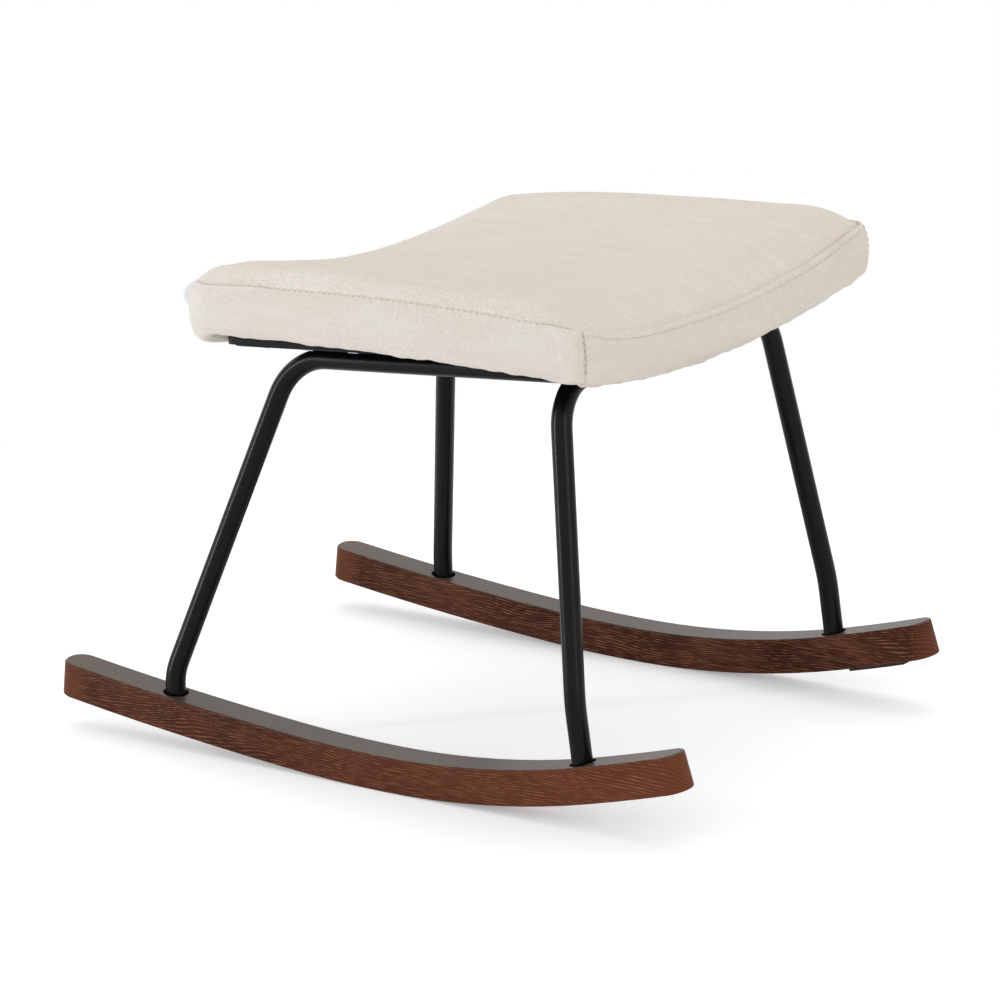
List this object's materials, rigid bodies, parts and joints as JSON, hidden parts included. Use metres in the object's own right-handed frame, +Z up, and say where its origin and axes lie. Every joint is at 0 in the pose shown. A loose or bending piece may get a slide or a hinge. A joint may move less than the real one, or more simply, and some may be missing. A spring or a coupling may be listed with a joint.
{
  "type": "rocking footstool",
  "caption": "Low footstool with a dished upholstered pad on a bent black tube frame, standing on two curved wooden rockers.",
  "frame": {"origin": "on the floor, midway between the four feet and between the two rockers", "axes": "+X along the rockers towards their steeper front ends, +Y from the near rocker to the far one, +Z up"},
  "size_m": [0.6633, 0.458, 0.4485],
  "materials": {
    "rocker_wood": "satin",
    "black_tube": "satin",
    "zinc_steel": "satin",
    "grip_rubber": "matte",
    "board_wood": "satin",
    "dust_cloth": "matte",
    "black_plastic": "matte",
    "foam": "matte",
    "wadding_fibre": "matte",
    "cover_fabric": "matte",
    "tab_tape": "matte"
  },
  "bodies": {
    "root": {"rocker_near": "rocker_wood", "rocker_far": "rocker_wood", "grip_strip_far": "grip_rubber", "leg_hoop": "black_tube", "rail_leg_near": "black_tube", "rail_leg_far": "black_tube", "leg_plugs": "zinc_steel", "foot_screws": "zinc_steel", "foot_washers": "zinc_steel", "seat_tabs": "black_tube", "seat_spacers": "black_plastic", "seat_screws": "zinc_steel", "seat_washers": "zinc_steel", "tee_nuts": "zinc_steel", "seat_board": "board_wood", "dust_cover": "dust_cloth", "dust_staples": "zinc_steel", "foam_core": "foam", "wadding": "wadding_fibre", "cover_top": "cover_fabric", "cover_wrap_band": "cover_fabric", "cover_front_band": "cover_fabric", "blank_tab": "tab_tape"}
  },
  "joints": []
}
